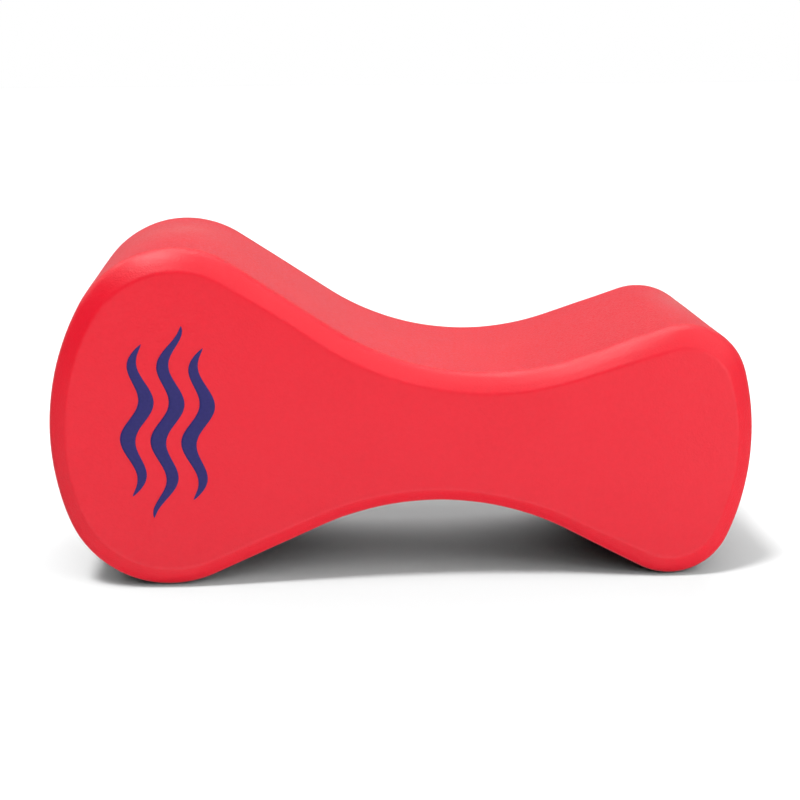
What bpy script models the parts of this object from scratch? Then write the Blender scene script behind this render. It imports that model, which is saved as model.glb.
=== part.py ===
"""Pull buoy: a block of closed-cell foam that a swimmer holds between the thighs.

The block is a figure of eight with a large and a small lobe, and it stands on both of them.
+X runs along it towards the small lobe, +Y from the printed face to the plain one, +Z up.
The origin is on the ground, under the middle of the block. Lengths are in metres.

The outline is drawn flat first: u runs along the block from the large lobe to the small one
and v across it, both from the block's middle. A parent empty then stands the block up.
"""

import math
from collections import namedtuple

import bmesh
import bpy

# Driving dimensions of the outline
LENGTH = 0.2400
Lobe = namedtuple("Lobe", "side height end_radius shoulder_radius")
LARGE_LOBE = Lobe(side=-1, height=0.1160, end_radius=0.0875, shoulder_radius=0.0363)
SMALL_LOBE = Lobe(side=1, height=0.0877, end_radius=0.0880, shoulder_radius=0.0220)
WAIST_HEIGHT = 0.0450
WAIST_RADIUS = 0.0963
WAIST_U = 0.0200            # the waist is this far past the middle, towards the small lobe

# Driving dimensions across the block
DEPTH = 0.1076
CHAMFER_INSET = 0.0060      # how far the chamfer cuts into each face
CHAMFER_DEPTH = 0.0055      # how far it runs down the side
EDGE_EASE = 0.0013          # each edge of the chamfer is rounded over this much on both sides

# Driving dimensions of the printed mark: waves side by side on the large lobe
MARK_U = -0.0800            # the middle of the mark
Wave = namedtuple("Wave", "offset length")
WAVES = (Wave(-0.0102, 0.052), Wave(0.0, 0.066), Wave(0.0102, 0.052))
WAVE_WIDTH = 0.0054         # at its widest
WAVE_SWING = 0.0027         # how far its middle line swings to each side
WAVE_PITCH = 0.0260         # from one crest to the next
WAVE_TAPER = 0.6            # under 1 keeps the stripe wide until near its points
PRINT_THICKNESS = 0.0003
PRINT_GAP = 0.0003          # between the foam's face and the print

# Fineness of the mesh
ARC_STEP = math.radians(5)
EASE_STEPS = 3
WAVE_STEPS = 36
SMOOTH_BELOW = math.radians(25)

Arc = namedtuple("Arc", "centre radius bulge start end")


def end_centre(lobe):
    """Centre of the shallow arc that closes a lobe's end."""
    return (lobe.side * (LENGTH / 2 - lobe.end_radius), 0.0)


def shoulder_centre(lobe):
    """Centre of a lobe's upper shoulder arc, which meets the end arc on a shared tangent."""
    across = lobe.height / 2 - lobe.shoulder_radius
    along = math.sqrt((lobe.end_radius - lobe.shoulder_radius) ** 2 - across ** 2)
    return (end_centre(lobe)[0] + lobe.side * along, across)


def waist_centre():
    """Centre of the hollow arc above the waist."""
    return (WAIST_U, WAIST_HEIGHT / 2 + WAIST_RADIUS)


def direction(start, end):
    return math.atan2(end[1] - start[1], end[0] - start[0])


def flank_angle(lobe):
    """The way that the straight flank between a shoulder and the waist faces."""
    shoulder = shoulder_centre(lobe)
    apart = math.dist(shoulder, waist_centre())
    lean = math.acos((lobe.shoulder_radius + WAIST_RADIUS) / apart)
    return direction(shoulder, waist_centre()) - lobe.side * lean


def upper_arcs():
    """The outline's upper half, from the large end's tip to the small end's."""
    large_end, small_end = end_centre(LARGE_LOBE), end_centre(SMALL_LOBE)
    large_shoulder, small_shoulder = shoulder_centre(LARGE_LOBE), shoulder_centre(SMALL_LOBE)
    large_join = direction(large_end, large_shoulder)
    small_join = direction(small_end, small_shoulder)
    large_flank, small_flank = flank_angle(LARGE_LOBE), flank_angle(SMALL_LOBE)
    return (
        Arc(large_end, LARGE_LOBE.end_radius, 1, math.pi, large_join),
        Arc(large_shoulder, LARGE_LOBE.shoulder_radius, 1, large_join, large_flank),
        Arc(waist_centre(), WAIST_RADIUS, -1, large_flank, small_flank),
        Arc(small_shoulder, SMALL_LOBE.shoulder_radius, 1, small_flank, small_join),
        Arc(small_end, SMALL_LOBE.end_radius, 1, small_join, 0.0),
    )


def arc_points(arc, inset):
    """Points along an arc that is moved inwards by inset. A hollow arc has a bulge of -1."""
    steps = math.ceil(abs(arc.end - arc.start) / ARC_STEP)
    reach = arc.bulge * arc.radius - inset
    points = []
    for step in range(steps + 1):
        angle = arc.start + (arc.end - arc.start) * step / steps
        points.append((arc.centre[0] + reach * math.cos(angle), arc.centre[1] + reach * math.sin(angle)))
    return points


def block_outline(inset):
    """The block's whole outline, moved inwards by inset, as (u, v) points."""
    upper = []
    for arc in upper_arcs():
        points = arc_points(arc, inset)
        if upper and math.dist(upper[-1], points[0]) < 1e-6:
            points = points[1:]
        upper += points
    lower = [(u, -v) for u, v in reversed(upper[1:-1])]
    return upper + lower


def eased_corner(before, corner, after):
    """Points that round a corner between two others, starting and ending EDGE_EASE from it."""
    start, end = (
        [c + (o - c) * EDGE_EASE / math.dist(corner, other) for c, o in zip(corner, other)]
        for other in (before, after)
    )
    points = []
    for step in range(EASE_STEPS + 1):
        t = step / EASE_STEPS
        weights = ((1 - t) ** 2, 2 * t * (1 - t), t ** 2)
        points.append(tuple(
            sum(w * p[axis] for w, p in zip(weights, (start, corner, end))) for axis in (0, 1)
        ))
    return points


def chamfer_section():
    """(inset, depth) from a face, over its eased chamfer, to the side."""
    face_corner = (CHAMFER_INSET, 0.0)
    side_corner = (0.0, CHAMFER_DEPTH)
    on_face = (CHAMFER_INSET + EDGE_EASE, 0.0)
    on_side = (0.0, CHAMFER_DEPTH + EDGE_EASE)
    return eased_corner(on_face, face_corner, side_corner) + eased_corner(face_corner, side_corner, on_side)


def wave_outline(wave):
    """One printed wave: a stripe across the lobe that swings to and fro and thins to two points."""
    left, right = [], []
    for step in range(WAVE_STEPS + 1):
        along = 2 * step / WAVE_STEPS - 1
        v = along * wave.length / 2
        middle = MARK_U + wave.offset + WAVE_SWING * math.sin(2 * math.pi * v / WAVE_PITCH)
        half_width = WAVE_WIDTH / 2 * max(math.cos(along * math.pi / 2), 0.0) ** WAVE_TAPER
        left.append((middle - half_width, v))
        right.append((middle + half_width, v))
    return left + right[-2:0:-1]


def loft(name, rings, material):
    """A closed solid through rings, each an outline and its y, with flat first and last faces."""
    shape = bmesh.new()
    loops = [[shape.verts.new((u, y, v)) for u, v in outline] for outline, y in rings]
    shape.faces.new(loops[0])
    shape.faces.new(loops[-1])
    count = len(loops[0])
    for near, far in zip(loops, loops[1:]):
        for i in range(count):
            j = (i + 1) % count
            shape.faces.new((near[i], near[j], far[j], far[i]))
    bmesh.ops.recalc_face_normals(shape, faces=shape.faces)
    mesh = bpy.data.meshes.new(name)
    shape.to_mesh(mesh)
    shape.free()
    mesh.shade_smooth()
    mesh.set_sharp_from_angle(angle=SMOOTH_BELOW)
    mesh.materials.append(material)
    solid = bpy.data.objects.new(name, mesh)
    bpy.context.collection.objects.link(solid)
    return solid


def plain_material(name, colour, roughness):
    material = bpy.data.materials.new(name)
    material.use_nodes = True
    shader = material.node_tree.nodes["Principled BSDF"]
    shader.inputs["Base Color"].default_value = (*colour, 1.0)
    shader.inputs["Roughness"].default_value = roughness
    shader.inputs["Metallic"].default_value = 0.0
    return material


def foam_body():
    """The foam block, with an eased chamfer round both of its faces."""
    section = chamfer_section()
    front = [(block_outline(inset), depth - DEPTH / 2) for inset, depth in section]
    back = [(outline, -y) for outline, y in reversed(front)]
    return loft("foam_body", front + back, plain_material("eva_foam", (0.82, 0.045, 0.06), 0.75))


def printed_waves():
    """The mark: thin prints lying on the front face of the large lobe."""
    ink = plain_material("print_ink", (0.045, 0.035, 0.20), 0.55)
    back_y = -DEPTH / 2 - PRINT_GAP
    front_y = back_y - PRINT_THICKNESS
    prints = []
    for number, wave in enumerate(WAVES, start=1):
        outline = wave_outline(wave)
        prints.append(loft(f"print_wave_{number}", [(outline, front_y), (outline, back_y)], ink))
    return prints


def standing_frame():
    """An empty that tips and lifts the block so that both lobes touch the ground."""
    large, small = shoulder_centre(LARGE_LOBE), shoulder_centre(SMALL_LOBE)
    large_foot, small_foot = (large[0], -large[1]), (small[0], -small[1])
    drop = LARGE_LOBE.shoulder_radius - SMALL_LOBE.shoulder_radius
    tip = math.asin(drop / math.dist(large_foot, small_foot)) + direction(large_foot, small_foot)
    foot_z = large_foot[1] * math.cos(tip) - large_foot[0] * math.sin(tip)
    large_tip_x = end_centre(LARGE_LOBE)[0] * math.cos(tip) - LARGE_LOBE.end_radius
    small_tip_x = end_centre(SMALL_LOBE)[0] * math.cos(tip) + SMALL_LOBE.end_radius
    frame = bpy.data.objects.new("standing_frame", None)
    frame.rotation_euler = (0.0, tip, 0.0)
    frame.location = (-(large_tip_x + small_tip_x) / 2, 0.0, LARGE_LOBE.shoulder_radius - foot_z)
    bpy.context.collection.objects.link(frame)
    return frame


def build():
    for old in list(bpy.data.objects):
        bpy.data.objects.remove(old)
    frame = standing_frame()
    for solid in [foam_body(), *printed_waves()]:
        solid.parent = frame


build()
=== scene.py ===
"""The looks of the pull buoy: eased foam with a fine grain, a thin ink print, and a soft white studio."""
import math
from collections import namedtuple

import bmesh
import bpy
from mathutils import Matrix, Vector, noise


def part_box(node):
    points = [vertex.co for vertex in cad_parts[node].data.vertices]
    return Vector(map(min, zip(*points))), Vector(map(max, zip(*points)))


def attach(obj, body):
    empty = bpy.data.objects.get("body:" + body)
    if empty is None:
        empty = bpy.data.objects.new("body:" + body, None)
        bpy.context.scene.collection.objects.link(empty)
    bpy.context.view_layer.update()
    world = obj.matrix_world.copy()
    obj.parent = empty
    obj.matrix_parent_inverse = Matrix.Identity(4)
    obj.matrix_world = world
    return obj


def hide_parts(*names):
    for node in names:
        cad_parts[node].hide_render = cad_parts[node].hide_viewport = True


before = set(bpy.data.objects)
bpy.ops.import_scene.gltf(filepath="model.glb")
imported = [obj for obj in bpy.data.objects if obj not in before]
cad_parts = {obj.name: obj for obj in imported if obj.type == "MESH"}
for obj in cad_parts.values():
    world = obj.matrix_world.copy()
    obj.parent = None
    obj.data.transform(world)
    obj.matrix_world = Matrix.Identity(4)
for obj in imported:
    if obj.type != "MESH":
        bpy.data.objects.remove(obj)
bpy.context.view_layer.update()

# Lengths are in metres, and the camera's lens and sensor in millimetres.

# The block's outline, as in the CAD: u runs along the block and v up it, from its middle. A lobe's
# side is -1 at the left end and 1 at the right one.
LENGTH = 0.2400
Lobe = namedtuple("Lobe", "side height end_radius shoulder_radius")
LARGE_LOBE = Lobe(side=-1, height=0.1160, end_radius=0.0875, shoulder_radius=0.0363)
SMALL_LOBE = Lobe(side=1, height=0.0877, end_radius=0.0880, shoulder_radius=0.0220)
WAIST_HEIGHT = 0.0450
WAIST_RADIUS = 0.0963
WAIST_U = 0.0200

# From face to face, and the chamfer round each face
FOAM_LOW, FOAM_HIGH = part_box("foam_body")
DEPTH = FOAM_HIGH.y - FOAM_LOW.y
CHAMFER_INSET = 0.0060      # how far it reaches in over the face
CHAMFER_DEPTH = 0.0055      # how far it reaches down the side
CHAMFER_BULGE = 0.0003      # how far its middle would stand proud if it were a sharp ridge
FACE_EASE = 0.0008          # rounding where it meets the face
SIDE_EASE = 0.0030          # rounding where it runs out on the side

# The printed waves, as in the CAD
MARK_U = -0.0800
Wave = namedtuple("Wave", "offset length")
WAVES = (Wave(-0.0102, 0.052), Wave(0.0, 0.066), Wave(0.0102, 0.052))
WAVE_WIDTH = 0.0054
WAVE_SWING = 0.0027
WAVE_PITCH = 0.0260
WAVE_TAPER = 0.6            # below 1, so that a wave stays broad nearly to its tips
WAVE_TIP = 0.002            # keeps the taper from closing a tip to nothing
INK_LIFT = 0.00004          # the ink's underside above the foam
INK_THICKNESS = 0.00006

# Fineness of the meshes
FOAM_STEP = 0.0020          # along the outline, over the faces and across the side
EASE_STEPS = 6              # over each rounded corner
SAME_PLACE = 1e-6           # stations nearer than this are one
INK_STEP = 0.0008           # along a wave
INK_STEPS_ACROSS = 6

# How far hand finishing leaves the foam from a perfect shape
SWELL = 0.00012             # slow swells over the whole surface
SWELL_SIZE = 0.030
RIPPLE_SHARE = 0.35         # finer swells on top, of this share of their height
RIPPLE_SIZE = SWELL_SIZE / 3
RIPPLE_SHIFT = Vector((7.0, 3.0, 1.0))      # takes them from elsewhere in the noise
CHAMFER_WANDER = 0.00022    # how much the chamfer's width wanders round the block
WANDER_SIZE = 0.022
WANDER_SHIFT = Vector((2.0, 9.0, 4.0))
CORNER_GAIN = 0.22          # the share that the chamfer is wider by round a shoulder
CORNER_REACH = 0.028        # how far from the shoulder that fades out
BELLY_LOSS = 0.16           # the share that it is narrower by under the waist
BELLY_REACH = 0.055         # how far from the waist that fades out

# The materials' grain is noise, with features of this size and this many finer layers on them
Grain = namedtuple("Grain", "size layers")
GRAIN_LOW, GRAIN_HIGH = 0.3, 0.7            # nearly all of the noise lies between these

# The foam: finely mottled, paler in slow clouds, and with a painted sheen, paler and greyer, on top of
# each lobe where grazing light reflects
FOAM_DEEP = (0.830, 0.0040, 0.0210, 1.0)
FOAM_RED = (0.860, 0.0047, 0.0230, 1.0)
FOAM_MOTTLE = Grain(0.0016, 3.0)
FOAM_PALE = (0.890, 0.0065, 0.0260, 1.0)
FOAM_CLOUDS = Grain(0.035, 2.0)
MOST_CLOUD = 0.35           # how far towards the pale red a cloud goes
# Painted sheen: the paler, greyer red that stands in for a grazing reflection on top of each lobe
FOAM_PAINTED_SHEEN = (0.810, 0.070, 0.080, 1.0)
FOAM_ROUGHNESS = (0.30, 0.45)
FOAM_POLISH = Grain(0.0009, 2.0)            # how the roughness varies
FOAM_DIMPLES = Grain(0.0022, 2.0)
DIMPLE_DEPTH = 0.00003
FOAM_PORES = Grain(0.00060, 2.0)
PORE_DEPTH = 0.00014
FOAM_GLOSS = {
    "Specular IOR Level": 0.50,
    "Sheen Weight": 0.05,
    "Sheen Roughness": 0.35,
    "Sheen Tint": (1.0, 0.92, 0.92, 1.0),
}

# Where the sheen is painted, on top of each lobe, in the frame's own x, y and z
SheenPatch = namedtuple("SheenPatch", "middle reach")
SHEEN_PATCHES = (
    SheenPatch(middle=(-0.077, 0.010, 0.1155), reach=(0.024, 0.034, 0.012)),
    SheenPatch(middle=(0.103, 0.006, 0.0865), reach=(0.011, 0.034, 0.010)),
)
SHEEN_CORE = 0.1              # the share of its reach within which a painted sheen patch is at its strongest
SHEEN_BLOTCHES = Grain(0.007, 3.0)
SHEEN_LEAST = 0.4             # the share of a painted sheen patch that is left between its blotches

# The ink
INK_DEEP = (0.0210, 0.0170, 0.1500, 1.0)
INK_BLUE = (0.0260, 0.0210, 0.1750, 1.0)
INK_MOTTLE = Grain(0.0011, 3.0)
INK_ROUGHNESS = (0.45, 0.62)
INK_POLISH = Grain(0.0008, 2.0)
INK_PORES = Grain(0.00055, 2.0)
INK_PORE_DEPTH = 0.00004
INK_GLOSS = {"Specular IOR Level": 0.35}

# The floor, a square round the block
FLOOR_HALF = 4.0
FLOOR_LOOK = {"Base Color": (0.86, 0.86, 0.86, 1.0), "Roughness": 0.9, "Specular IOR Level": 0.1}

# The sockets of a Mix node that blends two colours
MIX_FACTOR, MIX_FIRST, MIX_SECOND, MIX_RESULT = 0, 6, 7, 2

# The studio is white to the camera. To the foam's gloss it is this bright along x, y and z.
WHITE = (1.0, 1.0, 1.0, 1.0)
Sides = namedtuple("Sides", "minus plus")
STUDIO = (
    Sides(minus=0.00, plus=0.20),       # left and right
    Sides(minus=0.24, plus=0.34),       # front and back
    Sides(minus=0.00, plus=0.15),       # below and above
)

# Soft suns. Azimuth 0 comes from in front of the block and 90 from its left; spread is the sun's
# width in the sky; level 1 is what makes a white surface that faces the sun just white.
Sun = namedtuple("Sun", "name azimuth elevation spread level")
FOAM_SUNS = (
    Sun("front_top", 0, 50, 60, 0.14),
    Sun("right", -75, 45, 60, 0.30),
    Sun("back_left", 130, 52, 60, 0.27),
    Sun("back_right", -150, 30, 50, 0.04),
    Sun("back_top", 180, 70, 50, 0.36),
    Sun("below", 0, -45, 60, 0.14),
)
FLOOR_SUNS = (
    Sun("floor_key", 40, 66, 12, 0.68),
    Sun("floor_back", 180, 35, 50, 0.68),
    Sun("floor_right", -60, 35, 50, 0.50),
    Sun("floor_front", 0, 35, 50, 0.25),
    Sun("floor_left", 90, 50, 40, 0.18),
)

# Soft lamps that stand close to the foam, so that it grows a little brighter towards them. Level
# is as a sun's, where the block stands.
Lamp = namedtuple("Lamp", "name place radius level")
LAMPS = (
    Lamp("top_left", Vector((-0.36, -0.26, 1.06)), 0.10, 0.335),
    Lamp("front_right", Vector((0.45, -0.59, 0.16)), 0.20, 0.16),
)

# The camera: where it stands, and how far it turns right, looks down and leans
CAMERA_PLACE = Vector((-0.0375, -0.6772, 0.1943))
CAMERA_TURN = math.radians(3.27)
CAMERA_DROP = math.radians(11.75)
CAMERA_LEAN = math.radians(-0.35)
CAMERA_LENS = 85.5
CAMERA_SENSOR = 36.0


# The outline. An arc's start and end are the ways that it faces there, and its bulge is 1, or -1
# where it is hollow. A station is a point of the outline, with the way that it faces.
Arc = namedtuple("Arc", "centre radius bulge start end")
Station = namedtuple("Station", "point normal")


def end_centre(lobe):
    return (lobe.side * (LENGTH / 2 - lobe.end_radius), 0.0)


def shoulder_centre(lobe):
    up = lobe.height / 2 - lobe.shoulder_radius
    along = math.sqrt((lobe.end_radius - lobe.shoulder_radius) ** 2 - up ** 2)
    return (end_centre(lobe)[0] + lobe.side * along, up)


def waist_centre():
    return (WAIST_U, WAIST_HEIGHT / 2 + WAIST_RADIUS)


def direction(start, end):
    return math.atan2(end[1] - start[1], end[0] - start[0])


def join_angle(lobe):
    """The way that the outline faces where a lobe's end meets its shoulder."""
    return direction(end_centre(lobe), shoulder_centre(lobe))


def flank_angle(lobe):
    """The way that the straight flank between a shoulder and the waist faces."""
    shoulder = shoulder_centre(lobe)
    apart = math.dist(shoulder, waist_centre())
    lean = math.acos((lobe.shoulder_radius + WAIST_RADIUS) / apart)
    return direction(shoulder, waist_centre()) - lobe.side * lean


def upper_arcs():
    large, small = LARGE_LOBE, SMALL_LOBE
    large_join, small_join = join_angle(large), join_angle(small)
    large_flank, small_flank = flank_angle(large), flank_angle(small)
    return (
        Arc(end_centre(large), large.end_radius, 1, math.pi, large_join),
        Arc(shoulder_centre(large), large.shoulder_radius, 1, large_join, large_flank),
        Arc(waist_centre(), WAIST_RADIUS, -1, large_flank, small_flank),
        Arc(shoulder_centre(small), small.shoulder_radius, 1, small_flank, small_join),
        Arc(end_centre(small), small.end_radius, 1, small_join, 0.0),
    )


def arc_stations(arc):
    steps = math.ceil(abs(arc.end - arc.start) * arc.radius / FOAM_STEP)
    stations = []
    for step in range(steps + 1):
        angle = arc.start + (arc.end - arc.start) * step / steps
        normal = Vector((math.cos(angle), math.sin(angle)))
        stations.append(Station(Vector(arc.centre) + arc.bulge * arc.radius * normal, normal))
    return stations


def flank_stations(before, after):
    """The stations between two others, along a straight flank."""
    steps = round((after.point - before.point).length / FOAM_STEP)
    return [Station(before.point.lerp(after.point, k / steps), before.normal) for k in range(1, steps)]


def upper_stations():
    """Stations along the upper half of the outline, about FOAM_STEP apart, from tip to tip."""
    stations = []
    for arc in upper_arcs():
        added = arc_stations(arc)
        if stations and (added[0].point - stations[-1].point).length < SAME_PLACE:
            added = added[1:]
        elif stations:
            stations += flank_stations(stations[-1], added[0])
        stations += added
    return stations


def lower_stations(upper):
    """The mirror image of the upper half, from tip to tip the other way, without the tips."""
    down = Vector((1, -1))
    return [Station(point * down, normal * down) for point, normal in reversed(upper[1:-1])]


# The chamfer


def eased_line(corners):
    """A smooth curve inside a line of corners, touching the middle of each stretch between two."""
    points = []
    for before, corner, after in zip(corners, corners[1:], corners[2:]):
        start, end = (before + corner) / 2, (corner + after) / 2
        first = 1 if points else 0
        for step in range(first, EASE_STEPS + 1):
            t = step / EASE_STEPS
            points.append(start * (1 - t) ** 2 + corner * 2 * t * (1 - t) + end * t ** 2)
    return points


def edge_section():
    """(inset, depth) from the face, over the slightly bulging chamfer, to past it on the side."""
    face_corner = Vector((CHAMFER_INSET, 0.0))
    side_corner = Vector((0.0, CHAMFER_DEPTH))
    outward = Vector((-CHAMFER_DEPTH, -CHAMFER_INSET)).normalized()
    ridge = (face_corner + side_corner) / 2 + outward * CHAMFER_BULGE
    return eased_line([
        face_corner + Vector((2 * FACE_EASE, 0.0)),
        face_corner,
        face_corner + (ridge - face_corner).normalized() * 2 * FACE_EASE,
        ridge,
        side_corner,
        side_corner + Vector((0.0, 2 * SIDE_EASE)),
    ])


def corner_point(lobe, half):
    """Where the shoulder of a lobe stands out most, on the upper (1) or lower (-1) half."""
    shoulder = shoulder_centre(lobe)
    middle = (join_angle(lobe) + flank_angle(lobe)) / 2
    u = shoulder[0] + lobe.shoulder_radius * math.cos(middle)
    v = shoulder[1] + lobe.shoulder_radius * math.sin(middle)
    return Vector((u, v * half))


def corner_gain(point):
    """How much wider the chamfer is here than on the straights: the sander bites at a tight corner."""
    gain = 0.0
    for lobe in (LARGE_LOBE, SMALL_LOBE):
        for half in (1, -1):
            away = (point - corner_point(lobe, half)).length / CORNER_REACH
            gain += CORNER_GAIN * math.exp(-away ** 2)
    return gain


def belly_loss(point):
    """How much narrower the chamfer is along the hollow underside, where the sander barely reaches."""
    if point.y > 0:
        return 0.0
    return BELLY_LOSS * math.exp(-((point.x - WAIST_U) / BELLY_REACH) ** 2)


def chamfer_width(point, face):
    """The chamfer's width at a point of the outline, as a share of its usual width."""
    place = Vector((point.x, point.y, face)) / WANDER_SIZE + WANDER_SHIFT
    wander = CHAMFER_WANDER / CHAMFER_INSET * noise.noise(place)
    return 1 + corner_gain(point) - belly_loss(point) + wander


# The foam block


def swell(point):
    """A small height over the ideal surface, the same for the same place each time."""
    slow = noise.noise(point / SWELL_SIZE)
    fine = noise.noise(point / RIPPLE_SIZE + RIPPLE_SHIFT)
    return SWELL * (slow + RIPPLE_SHARE * fine)


def ring_places():
    """(inset, y, face) of each ring of the grid, from the front face (-1) to the back one (1)."""
    section = edge_section()
    half = DEPTH / 2
    side_y = section[-1].y - half
    side_steps = round((DEPTH - 2 * section[-1].y) / FOAM_STEP)
    front = [(inset, depth - half, -1.0) for inset, depth in section]
    side = [(0.0, side_y - 2 * side_y * k / side_steps, 0.0) for k in range(1, side_steps)]
    back = [(inset, half - depth, 1.0) for inset, depth in reversed(section)]
    return front + side + back


def add_ring(shape, around, inset, y, face):
    """The vertices of one ring, drawn in from the outline by the inset times the chamfer's width."""
    ring = []
    for point, normal in around:
        drawn_in = point - normal * inset * chamfer_width(point, face)
        ring.append(shape.verts.new((drawn_in.x, y, drawn_in.y)))
    return ring


def join_rings(shape, near, far):
    """Closes the strip between two rings that have equally many vertices."""
    count = len(near)
    for i in range(count):
        j = (i + 1) % count
        shape.faces.new((near[i], near[j], far[j], far[i]))


def fill_face(shape, rim, upper_count):
    """Fills a flat face with columns of quads between the rim's upper half and its mirror image."""
    top = rim[1:upper_count - 1]
    bottom = rim[:upper_count - 1:-1]
    tallest = max((high.co - low.co).length for high, low in zip(top, bottom))
    rows = round(tallest / FOAM_STEP)
    columns = []
    for high, low in zip(top, bottom):
        inner = [shape.verts.new(high.co.lerp(low.co, row / rows)) for row in range(1, rows)]
        columns.append([high, *inner, low])
    for left, right in zip(columns, columns[1:]):
        for row in range(rows):
            shape.faces.new((left[row], left[row + 1], right[row + 1], right[row]))
    for tip, column in ((rim[0], columns[0]), (rim[upper_count - 1], columns[-1])):
        for row in range(rows):
            shape.faces.new((tip, column[row], column[row + 1]))


def foam_shape():
    """The whole block as one closed grid, in (u, y, v) before it is tilted."""
    upper = upper_stations()
    around = upper + lower_stations(upper)
    shape = bmesh.new()
    rings = [add_ring(shape, around, *place) for place in ring_places()]
    for near, far in zip(rings, rings[1:]):
        join_rings(shape, near, far)
    for rim in (rings[0], rings[-1]):
        fill_face(shape, rim, len(upper))
    bmesh.ops.recalc_face_normals(shape, faces=shape.faces)
    shape.normal_update()
    for vert in shape.verts:
        vert.co += vert.normal * swell(vert.co)
    return shape


# The ink


def wave_point(wave, along, across):
    """A point of the front face inside a wave, where along and across run from -1 to 1."""
    v = along * wave.length / 2
    middle = MARK_U + wave.offset + WAVE_SWING * math.sin(2 * math.pi * v / WAVE_PITCH)
    half_width = WAVE_WIDTH / 2 * max(math.cos(along * math.pi / 2), WAVE_TIP) ** WAVE_TAPER
    return Vector((middle + half_width * across, -DEPTH / 2, v))


def add_sheet(shape, wave, lift):
    """A sheet over a wave, lift above the swelling face. Gives the vertices round its rim."""
    steps = round(wave.length / INK_STEP)
    rows = []
    for i in range(steps + 1):
        row = []
        for k in range(INK_STEPS_ACROSS + 1):
            point = wave_point(wave, 2 * i / steps - 1, 2 * k / INK_STEPS_ACROSS - 1)
            row.append(shape.verts.new(point - Vector((0.0, swell(point) + lift, 0.0))))
        rows.append(row)
    for low, high in zip(rows, rows[1:]):
        for k in range(INK_STEPS_ACROSS):
            shape.faces.new((low[k], low[k + 1], high[k + 1], high[k]))
    left = [row[0] for row in rows]
    right = [row[-1] for row in reversed(rows)]
    return left + rows[-1][1:-1] + right + rows[0][-2:0:-1]


def wave_shape(wave):
    """One ink wave: a thin skin that follows the foam's face, closed round its rim."""
    shape = bmesh.new()
    under = add_sheet(shape, wave, INK_LIFT)
    over = add_sheet(shape, wave, INK_LIFT + INK_THICKNESS)
    join_rings(shape, under, over)
    bmesh.ops.recalc_face_normals(shape, faces=shape.faces)
    return shape


# Objects


def add_object(name, data):
    """An object in the scene that holds this mesh, light or camera."""
    made = bpy.data.objects.new(name, data)
    bpy.context.scene.collection.objects.link(made)
    return made


def mesh_of(name, shape, material):
    mesh = bpy.data.meshes.new(name)
    shape.to_mesh(mesh)
    shape.free()
    mesh.materials.append(material)
    return mesh


def standing_matrix():
    """Tilts and lifts the block so that both lobes touch the ground, as in the CAD."""
    large, small = shoulder_centre(LARGE_LOBE), shoulder_centre(SMALL_LOBE)
    large_foot, small_foot = (large[0], -large[1]), (small[0], -small[1])
    drop = LARGE_LOBE.shoulder_radius - SMALL_LOBE.shoulder_radius
    tilt = math.asin(drop / math.dist(large_foot, small_foot)) + direction(large_foot, small_foot)
    foot_z = large_foot[1] * math.cos(tilt) - large_foot[0] * math.sin(tilt)
    left_x = end_centre(LARGE_LOBE)[0] * math.cos(tilt) - LARGE_LOBE.end_radius
    right_x = end_centre(SMALL_LOBE)[0] * math.cos(tilt) + SMALL_LOBE.end_radius
    place = Vector((-(left_x + right_x) / 2, 0.0, LARGE_LOBE.shoulder_radius - foot_z))
    return Matrix.Translation(place) @ Matrix.Rotation(tilt, 4, "Y")


def standing_object(name, shape, material):
    """An object that is tilted and lifted as the block is, with smooth shading."""
    mesh = mesh_of(name, shape, material)
    mesh.transform(standing_matrix())
    mesh.shade_smooth()
    return add_object(name, mesh)


# Nodes


def connect(tree, node, inputs):
    """Links each of these inputs to the output that is given, or sets it to the plain value."""
    for key, value in inputs.items():
        if isinstance(value, bpy.types.NodeSocket):
            tree.links.new(value, node.inputs[key])
        else:
            node.inputs[key].default_value = value


def add_node(tree, kind, inputs, **settings):
    """A node with these settings and inputs."""
    node = tree.nodes.new(kind)
    for name, value in settings.items():
        setattr(node, name, value)
    connect(tree, node, inputs)
    return node


def maths(tree, operation, first, second):
    return add_node(tree, "ShaderNodeMath", {0: first, 1: second}, operation=operation).outputs[0]


def vector_maths(tree, operation, first, second):
    node = add_node(tree, "ShaderNodeVectorMath", {0: first, 1: second}, operation=operation)
    return node.outputs["Vector"]


def length_of(tree, vector):
    return add_node(tree, "ShaderNodeVectorMath", {0: vector}, operation="LENGTH").outputs["Value"]


def spread(tree, value, low, high, start=GRAIN_LOW, end=GRAIN_HIGH):
    """Maps a value from start..end to low..high."""
    return add_node(tree, "ShaderNodeMapRange", {
        "Value": value, "From Min": start, "From Max": end, "To Min": low, "To Max": high,
    }).outputs["Result"]


def object_place(tree):
    """Where a point is in the object's own space, from one node that the material shares."""
    node = tree.nodes.get("Place") or tree.nodes.new("ShaderNodeTexCoord")
    node.name = "Place"
    return node.outputs["Object"]


def noise_of(tree, grain):
    return add_node(tree, "ShaderNodeTexNoise", {
        "Vector": object_place(tree), "Scale": 1 / grain.size, "Detail": grain.layers,
    }).outputs["Fac"]


def graded(tree, grain, low, high):
    """A value that varies between low and high with the grain."""
    return spread(tree, noise_of(tree, grain), low, high)


def blended(tree, factor, first, second):
    """The colour that lies this share of the way from the first to the second."""
    inputs = {MIX_FACTOR: factor, MIX_FIRST: first, MIX_SECOND: second}
    return add_node(tree, "ShaderNodeMix", inputs, data_type="RGBA").outputs[MIX_RESULT]


def bumped(tree, grain, depth, under=None):
    """The surface's normal with the grain pressed into it, over another such normal if one is given."""
    inputs = {"Strength": 1.0, "Distance": depth, "Height": noise_of(tree, grain)}
    if under:
        inputs["Normal"] = under
    return add_node(tree, "ShaderNodeBump", inputs).outputs["Normal"]


# Materials


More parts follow.
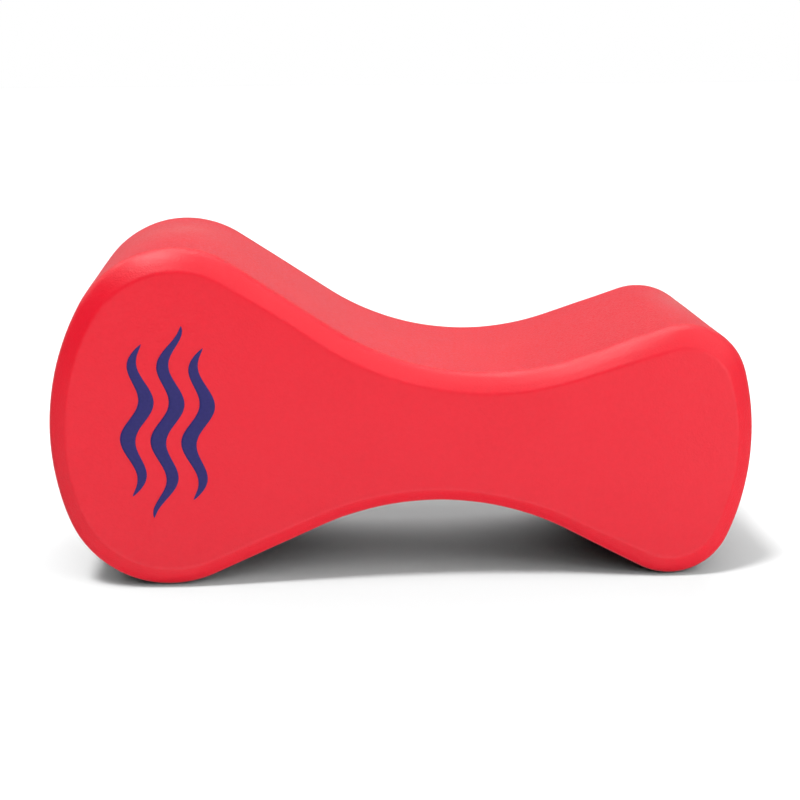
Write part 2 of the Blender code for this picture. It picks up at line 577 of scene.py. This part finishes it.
def new_material(name, uniform):
    """(material, node tree, shader), with the inputs that are the same all over set on the shader."""
    material = bpy.data.materials.new(name)
    material.use_nodes = True
    tree = material.node_tree
    shader = tree.nodes["Principled BSDF"]
    connect(tree, shader, uniform)
    return material, tree, shader


def painted_sheen(tree):
    """How strongly the sheen is painted, from 0 to 1: a paler, greyer patch that stands in for a grazing
    reflection and fades out unevenly on top of each lobe.
    """
    total = 0.0
    for sheen_patch in SHEEN_PATCHES:
        offset = vector_maths(tree, "SUBTRACT", object_place(tree), sheen_patch.middle)
        away = length_of(tree, vector_maths(tree, "DIVIDE", offset, sheen_patch.reach))
        fade = spread(tree, away, 1.0, 0.0, SHEEN_CORE, 1.0)
        total = maths(tree, "ADD", fade, total)
    return maths(tree, "MULTIPLY", total, graded(tree, SHEEN_BLOTCHES, SHEEN_LEAST, 1.0))


def foam_material():
    """Sanded closed-cell foam: red, matt, with a fine grain that shows where light grazes it."""
    material, tree, shader = new_material("eva_foam_red", FOAM_GLOSS)
    mottled = blended(tree, graded(tree, FOAM_MOTTLE, 0.0, 1.0), FOAM_DEEP, FOAM_RED)
    clouded = blended(tree, graded(tree, FOAM_CLOUDS, 0.0, MOST_CLOUD), mottled, FOAM_PALE)
    dimpled = bumped(tree, FOAM_DIMPLES, DIMPLE_DEPTH)
    connect(tree, shader, {
        # Painted sheen: the colour turns paler and greyer in patches on top of the lobes, standing in for
        # a grazing reflection
        "Base Color": blended(tree, painted_sheen(tree), clouded, FOAM_PAINTED_SHEEN),
        "Roughness": graded(tree, FOAM_POLISH, *FOAM_ROUGHNESS),
        "Normal": bumped(tree, FOAM_PORES, PORE_DEPTH, under=dimpled),
    })
    return material


def ink_material():
    """Screen ink that lets a little of the foam's grain through."""
    material, tree, shader = new_material("print_ink_blue", INK_GLOSS)
    connect(tree, shader, {
        "Base Color": blended(tree, graded(tree, INK_MOTTLE, 0.0, 1.0), INK_DEEP, INK_BLUE),
        "Roughness": graded(tree, INK_POLISH, *INK_ROUGHNESS),
        "Normal": bumped(tree, INK_PORES, INK_PORE_DEPTH),
    })
    return material


# The pieces, the floor and the camera


def make_foam():
    foam = standing_object("foam_block", foam_shape(), foam_material())
    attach(foam, "root")
    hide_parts("foam_body")
    # No red light bounces off the foam, which keeps the floor and the shadow grey
    foam.visible_diffuse = False
    return foam


def make_prints():
    ink = ink_material()
    prints = []
    for number, wave in enumerate(WAVES, start=1):
        print_piece = standing_object(f"ink_wave_{number}", wave_shape(wave), ink)
        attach(print_piece, "root")
        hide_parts(f"print_wave_{number}")
        prints.append(print_piece)
    return prints


def make_floor(height):
    shape = bmesh.new()
    bmesh.ops.create_grid(shape, x_segments=1, y_segments=1, size=FLOOR_HALF)
    material = new_material("studio_floor", FLOOR_LOOK)[0]
    floor = add_object("studio_floor", mesh_of("studio_floor", shape, material))
    floor.location.z = height
    # The foam's gloss sees the studio below it, not the floor
    floor.visible_glossy = False
    return floor


def make_camera():
    data = bpy.data.cameras.new("photo_view")
    data.lens = CAMERA_LENS
    data.sensor_width = CAMERA_SENSOR
    camera = add_object("photo_view", data)
    turn = (
        Matrix.Rotation(-CAMERA_TURN, 4, "Z")
        @ Matrix.Rotation(math.pi / 2 - CAMERA_DROP, 4, "X")
        @ Matrix.Rotation(CAMERA_LEAN, 4, "Z")
    )
    camera.matrix_world = Matrix.Translation(CAMERA_PLACE) @ turn
    bpy.context.scene.camera = camera


# The light


def group_of(name, members):
    """A collection that only steers which lights reach its members."""
    group = bpy.data.collections.new(name)
    for member in members:
        group.objects.link(member)
    return group


def add_light(name, kind, power, lit, blocking):
    """A light on the members of one group, whose shadows come from those of another."""
    data = bpy.data.lights.new(name, kind)
    data.energy = power
    data.cycles.use_multiple_importance_sampling = False
    light = add_object(name, data)
    light.light_linking.receiver_collection = lit
    light.light_linking.blocker_collection = blocking
    return light


def add_sun(sun, lit, blocking):
    turn, rise = math.radians(sun.azimuth), math.radians(sun.elevation)
    towards = Vector((
        -math.sin(turn) * math.cos(rise),
        -math.cos(turn) * math.cos(rise),
        math.sin(rise),
    ))
    light = add_light("sun_" + sun.name, "SUN", sun.level * math.pi, lit, blocking)
    light.data.angle = math.radians(sun.spread)
    light.rotation_mode = "QUATERNION"
    light.rotation_quaternion = (-towards).to_track_quat("-Z", "Y")


def add_lamp(lamp, lit, blocking):
    power = lamp.level * 4 * math.pi ** 2 * lamp.place.length_squared
    light = add_light("lamp_" + lamp.name, "POINT", power, lit, blocking)
    light.data.shadow_soft_size = lamp.radius
    light.location = lamp.place


def add_lights(foam, prints, floor):
    """Lights the block and the floor apart. Only the block blocks light, so a sun can shine from below."""
    foam_group = group_of("lit_as_foam", [foam, *prints])
    floor_group = group_of("lit_as_floor", [floor])
    for sun in FOAM_SUNS:
        add_sun(sun, foam_group, foam_group)
    for sun in FLOOR_SUNS:
        add_sun(sun, floor_group, foam_group)
    for lamp in LAMPS:
        add_lamp(lamp, foam_group, foam_group)


def studio_brightness(tree):
    """The level of each side that a direction leans to, weighed by its squared cosine to that side."""
    ray = tree.nodes.new("ShaderNodeTexCoord")
    axes = add_node(tree, "ShaderNodeSeparateXYZ", {"Vector": ray.outputs["Generated"]})
    total = 0.0
    for axis, sides in zip(axes.outputs, STUDIO):
        is_plus = maths(tree, "GREATER_THAN", axis, 0.0)
        level = spread(tree, is_plus, sides.minus, sides.plus, 0.0, 1.0)
        share = maths(tree, "MULTIPLY", maths(tree, "MULTIPLY", axis, axis), level)
        total = maths(tree, "ADD", share, total)
    return total


def make_world():
    """White to the camera and dimmer in reflections; the suns and lamps do all the lighting."""
    world = bpy.data.worlds.new("studio")
    world.use_nodes = True
    tree = world.node_tree
    dim = tree.nodes["Background"]
    connect(tree, dim, {"Color": WHITE, "Strength": studio_brightness(tree)})
    white = add_node(tree, "ShaderNodeBackground", {"Color": WHITE, "Strength": 1.0})
    rays = tree.nodes.new("ShaderNodeLightPath")
    choice = add_node(tree, "ShaderNodeMixShader", {
        0: rays.outputs["Is Camera Ray"], 1: dim.outputs[0], 2: white.outputs[0],
    })
    connect(tree, tree.nodes["World Output"], {"Surface": choice.outputs[0]})
    world.cycles_visibility.diffuse = False
    bpy.context.scene.world = world


make_camera()
foam = make_foam()
prints = make_prints()
floor = make_floor(height=min(corner[2] for corner in foam.bound_box))
add_lights(foam, prints, floor)
make_world()
bpy.context.scene.view_settings.view_transform = "Standard"
